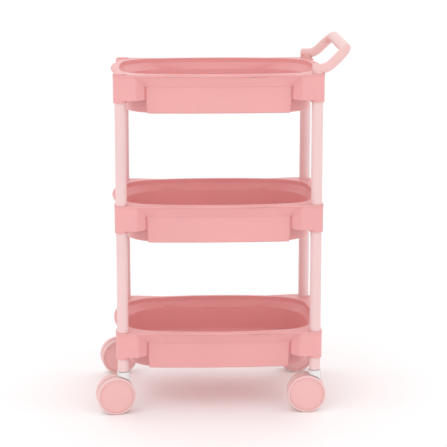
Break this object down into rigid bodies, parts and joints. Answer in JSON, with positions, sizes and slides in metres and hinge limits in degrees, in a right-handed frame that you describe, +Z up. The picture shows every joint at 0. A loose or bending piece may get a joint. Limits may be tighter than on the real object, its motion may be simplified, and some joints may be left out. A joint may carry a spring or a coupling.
{
  "type": "three tier rolling tray cart",
  "caption": "Rolling cart with oval moulded trays on tube posts, a loop push handle at one end and twin-wheel swivel casters.",
  "frame": {"origin": "on the floor under the centre of the whole trolley's bounding box", "axes": "+Z up; +X towards the handle end, along the trolley's length; +Y towards the back, across its width"},
  "size_m": [0.5009, 0.3229, 0.7312],
  "materials": {
    "tray_plastic": "satin moulded polypropylene",
    "post_plastic": "satin extruded tube",
    "handle_plastic": "satin moulded polypropylene",
    "wheel_plastic": "satin moulded plastic",
    "tread_rubber": "soft matt tread",
    "housing_nylon": "white moulded nylon",
    "pin_steel": "bright zinc plate",
    "screw_steel": "bright zinc plate"
  },
  "bodies": {
    "frame": {"tray_bottom": "tray_plastic", "tray_middle": "tray_plastic", "tray_top": "tray_plastic", "post_lower_front_left": "post_plastic", "post_lower_front_right": "post_plastic", "post_lower_back_left": "post_plastic", "post_lower_back_right": "post_plastic", "post_upper_front_left": "post_plastic", "post_upper_front_right": "post_plastic", "post_upper_back_left": "post_plastic", "post_upper_back_right": "post_plastic", "leg_front_left": "tray_plastic", "leg_front_right": "tray_plastic", "leg_back_left": "tray_plastic", "leg_back_right": "tray_plastic", "socket_cap_front_left": "tray_plastic", "socket_cap_back_left": "tray_plastic", "handle": "handle_plastic", "handle_screws": "screw_steel", "caster_front_left_bush": "housing_nylon", "caster_front_right_bush": "housing_nylon", "caster_back_left_bush": "housing_nylon", "caster_back_right_bush": "housing_nylon"},
    "caster_front_left": {"caster_front_left_housing": "housing_nylon", "caster_front_left_kingpin": "pin_steel", "caster_front_left_axle": "pin_steel"},
    "wheel_front_left_front": {"caster_front_left_disc_front": "wheel_plastic", "caster_front_left_tread_front": "tread_rubber"},
    "wheel_front_left_back": {"caster_front_left_disc_back": "wheel_plastic", "caster_front_left_tread_back": "tread_rubber"},
    "caster_front_right": {"caster_front_right_housing": "housing_nylon", "caster_front_right_kingpin": "pin_steel", "caster_front_right_axle": "pin_steel"},
    "wheel_front_right_front": {"caster_front_right_disc_front": "wheel_plastic", "caster_front_right_tread_front": "tread_rubber"},
    "wheel_front_right_back": {"caster_front_right_disc_back": "wheel_plastic", "caster_front_right_tread_back": "tread_rubber"},
    "caster_back_left": {"caster_back_left_housing": "housing_nylon", "caster_back_left_kingpin": "pin_steel", "caster_back_left_axle": "pin_steel"},
    "wheel_back_left_front": {"caster_back_left_disc_front": "wheel_plastic", "caster_back_left_tread_front": "tread_rubber"},
    "wheel_back_left_back": {"caster_back_left_disc_back": "wheel_plastic", "caster_back_left_tread_back": "tread_rubber"},
    "caster_back_right": {"caster_back_right_housing": "housing_nylon", "caster_back_right_kingpin": "pin_steel", "caster_back_right_axle": "pin_steel"},
    "wheel_back_right_front": {"caster_back_right_disc_front": "wheel_plastic", "caster_back_right_tread_front": "tread_rubber"},
    "wheel_back_right_back": {"caster_back_right_disc_back": "wheel_plastic", "caster_back_right_tread_back": "tread_rubber"}
  },
  "joints": [
    {"name": "swivel_front_left", "type": "hinge", "parent": "frame", "child": "caster_front_left", "pos_m": [-0.19501, -0.138, 0.085], "axis": [0, 0, 1], "continuous": true},
    {"name": "roll_front_left_front", "type": "hinge", "parent": "caster_front_left", "child": "wheel_front_left_front", "pos_m": [-0.21077, -0.14078, 0.03775], "axis": [-0.1736, 0.9848, 0], "continuous": true},
    {"name": "roll_front_left_back", "type": "hinge", "parent": "caster_front_left", "child": "wheel_front_left_back", "pos_m": [-0.21077, -0.14078, 0.03775], "axis": [-0.1736, 0.9848, 0], "continuous": true},
    {"name": "swivel_front_right", "type": "hinge", "parent": "frame", "child": "caster_front_right", "pos_m": [0.18499, -0.138, 0.085], "axis": [0, 0, 1], "continuous": true},
    {"name": "roll_front_right_front", "type": "hinge", "parent": "caster_front_right", "child": "wheel_front_right_front", "pos_m": [0.16899, -0.138, 0.03775], "axis": [0, 1, 0], "continuous": true},
    {"name": "roll_front_right_back", "type": "hinge", "parent": "caster_front_right", "child": "wheel_front_right_back", "pos_m": [0.16899, -0.138, 0.03775], "axis": [0, 1, 0], "continuous": true},
    {"name": "swivel_back_left", "type": "hinge", "parent": "frame", "child": "caster_back_left", "pos_m": [-0.19501, 0.138, 0.085], "axis": [0, 0, 1], "continuous": true},
    {"name": "roll_back_left_front", "type": "hinge", "parent": "caster_back_left", "child": "wheel_back_left_front", "pos_m": [-0.21077, 0.13522, 0.03775], "axis": [-0.1736, 0.9848, 0], "continuous": true},
    {"name": "roll_back_left_back", "type": "hinge", "parent": "caster_back_left", "child": "wheel_back_left_back", "pos_m": [-0.21077, 0.13522, 0.03775], "axis": [-0.1736, 0.9848, 0], "continuous": true},
    {"name": "swivel_back_right", "type": "hinge", "parent": "frame", "child": "caster_back_right", "pos_m": [0.18499, 0.138, 0.085], "axis": [0, 0, 1], "continuous": true},
    {"name": "roll_back_right_front", "type": "hinge", "parent": "caster_back_right", "child": "wheel_back_right_front", "pos_m": [0.16899, 0.138, 0.03775], "axis": [0, 1, 0], "continuous": true},
    {"name": "roll_back_right_back", "type": "hinge", "parent": "caster_back_right", "child": "wheel_back_right_back", "pos_m": [0.16899, 0.138, 0.03775], "axis": [0, 1, 0], "continuous": true}
  ]
}
